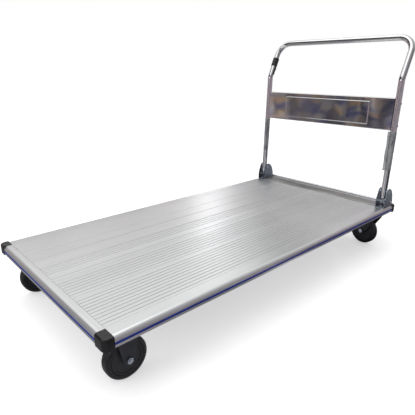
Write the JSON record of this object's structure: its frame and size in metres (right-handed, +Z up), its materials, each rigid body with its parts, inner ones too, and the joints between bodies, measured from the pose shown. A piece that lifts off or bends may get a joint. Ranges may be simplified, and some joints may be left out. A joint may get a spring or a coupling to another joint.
{
  "type": "folding platform cart",
  "caption": "Flat aluminium platform cart on casters with a fold-down chrome tube handle, sheet panel, foot release bar and corner caps.",
  "frame": {"origin": "bottom centre of the whole cart, on the floor under the middle of its box", "axes": "+X along the deck towards the handle end, +Y to the left-hand side, +Z up"},
  "size_m": [1.5174, 0.75, 0.9224],
  "materials": {
    "deck_aluminium": "satin",
    "plated_steel": "satin",
    "dark_steel": "satin",
    "chrome": "polished",
    "blue_strip": "matte",
    "black_plastic": "satin",
    "tyre_rubber": "matte",
    "hub_plastic": "satin",
    "clear_film": "gloss",
    "black_strap": "matte"
  },
  "bodies": {
    "platform": {"plank_1": "deck_aluminium", "plank_2": "deck_aluminium", "plank_3": "deck_aluminium", "plank_4": "deck_aluminium", "plank_5": "deck_aluminium", "front_edge_profile": "deck_aluminium", "front_bumper_strip": "blue_strip", "rear_edge_profile": "deck_aluminium", "rear_bumper_strip": "blue_strip", "left_edge_profile": "deck_aluminium", "left_bumper_strip": "blue_strip", "right_edge_profile": "deck_aluminium", "right_bumper_strip": "blue_strip", "corner_cap_front_left": "black_plastic", "corner_cap_front_right": "black_plastic", "corner_cap_rear_left": "black_plastic", "corner_cap_rear_right": "black_plastic", "cross_member_front": "plated_steel", "cross_member_middle": "plated_steel", "cross_member_rear": "plated_steel", "rear_cross_plate": "dark_steel", "deck_rivets": "deck_aluminium", "bracket_left": "plated_steel", "bracket_right": "plated_steel", "bracket_bolts": "plated_steel", "pivot_pins": "plated_steel", "spring_pins": "plated_steel", "caster_plate_front_left": "plated_steel", "caster_plate_front_right": "plated_steel", "caster_plate_rear_left": "plated_steel", "caster_plate_rear_right": "plated_steel", "caster_bolts": "plated_steel", "caster_fork_front_left": "dark_steel", "caster_fork_front_right": "dark_steel", "caster_axle_front_left": "plated_steel", "caster_axle_front_right": "plated_steel"},
    "handle": {"handle_tube": "chrome", "handle_panel": "chrome", "panel_screws": "plated_steel", "leg_sleeve_left": "clear_film", "leg_sleeve_right": "clear_film", "tube_strap": "black_strap"},
    "release_bar": {"release_bar": "plated_steel", "return_springs": "plated_steel"},
    "swivel_rear_left": {"caster_fork_rear_left": "dark_steel", "caster_axle_rear_left": "plated_steel", "swivel_race_rear_left": "dark_steel", "kingpin_rear_left": "plated_steel"},
    "swivel_rear_right": {"caster_fork_rear_right": "dark_steel", "caster_axle_rear_right": "plated_steel", "swivel_race_rear_right": "dark_steel", "kingpin_rear_right": "plated_steel"},
    "wheel_front_left": {"wheel_hub_front_left": "hub_plastic", "wheel_tyre_front_left": "tyre_rubber"},
    "wheel_front_right": {"wheel_hub_front_right": "hub_plastic", "wheel_tyre_front_right": "tyre_rubber"},
    "wheel_rear_left": {"wheel_hub_rear_left": "hub_plastic", "wheel_tyre_rear_left": "tyre_rubber"},
    "wheel_rear_right": {"wheel_hub_rear_right": "hub_plastic", "wheel_tyre_rear_right": "tyre_rubber"}
  },
  "joints": [
    {"name": "handle_fold", "type": "hinge", "parent": "platform", "child": "handle", "pos_m": [0.65932, 0, 0.262], "axis": [0, -1, 0], "range_deg": [0, 95]},
    {"name": "release_press", "type": "slide", "parent": "platform", "child": "release_bar", "axis": [0, 0, -1], "range_m": [0, 0.008], "stiffness_N_per_m": 1500, "springref_m": -0.012, "deforming": ["return_springs"]},
    {"name": "swivel_turn_rear_left", "type": "hinge", "parent": "platform", "child": "swivel_rear_left", "pos_m": [0.64832, 0.312, 0.15], "axis": [0, 0, 1], "continuous": true},
    {"name": "swivel_turn_rear_right", "type": "hinge", "parent": "platform", "child": "swivel_rear_right", "pos_m": [0.64832, -0.312, 0.15], "axis": [0, 0, 1], "continuous": true},
    {"name": "wheel_roll_front_left", "type": "hinge", "parent": "platform", "child": "wheel_front_left", "pos_m": [-0.66568, 0.299, 0.0625], "axis": [0, 1, 0], "continuous": true},
    {"name": "wheel_roll_front_right", "type": "hinge", "parent": "platform", "child": "wheel_front_right", "pos_m": [-0.66568, -0.299, 0.0625], "axis": [0, 1, 0], "continuous": true},
    {"name": "wheel_roll_rear_left", "type": "hinge", "parent": "swivel_rear_left", "child": "wheel_rear_left", "pos_m": [0.67651, 0.32226, 0.0625], "axis": [-0.342, 0.9397, 0], "continuous": true},
    {"name": "wheel_roll_rear_right", "type": "hinge", "parent": "swivel_rear_right", "child": "wheel_rear_right", "pos_m": [0.65249, -0.28229, 0.0625], "axis": [-0.9903, 0.1392, 0], "continuous": true}
  ]
}
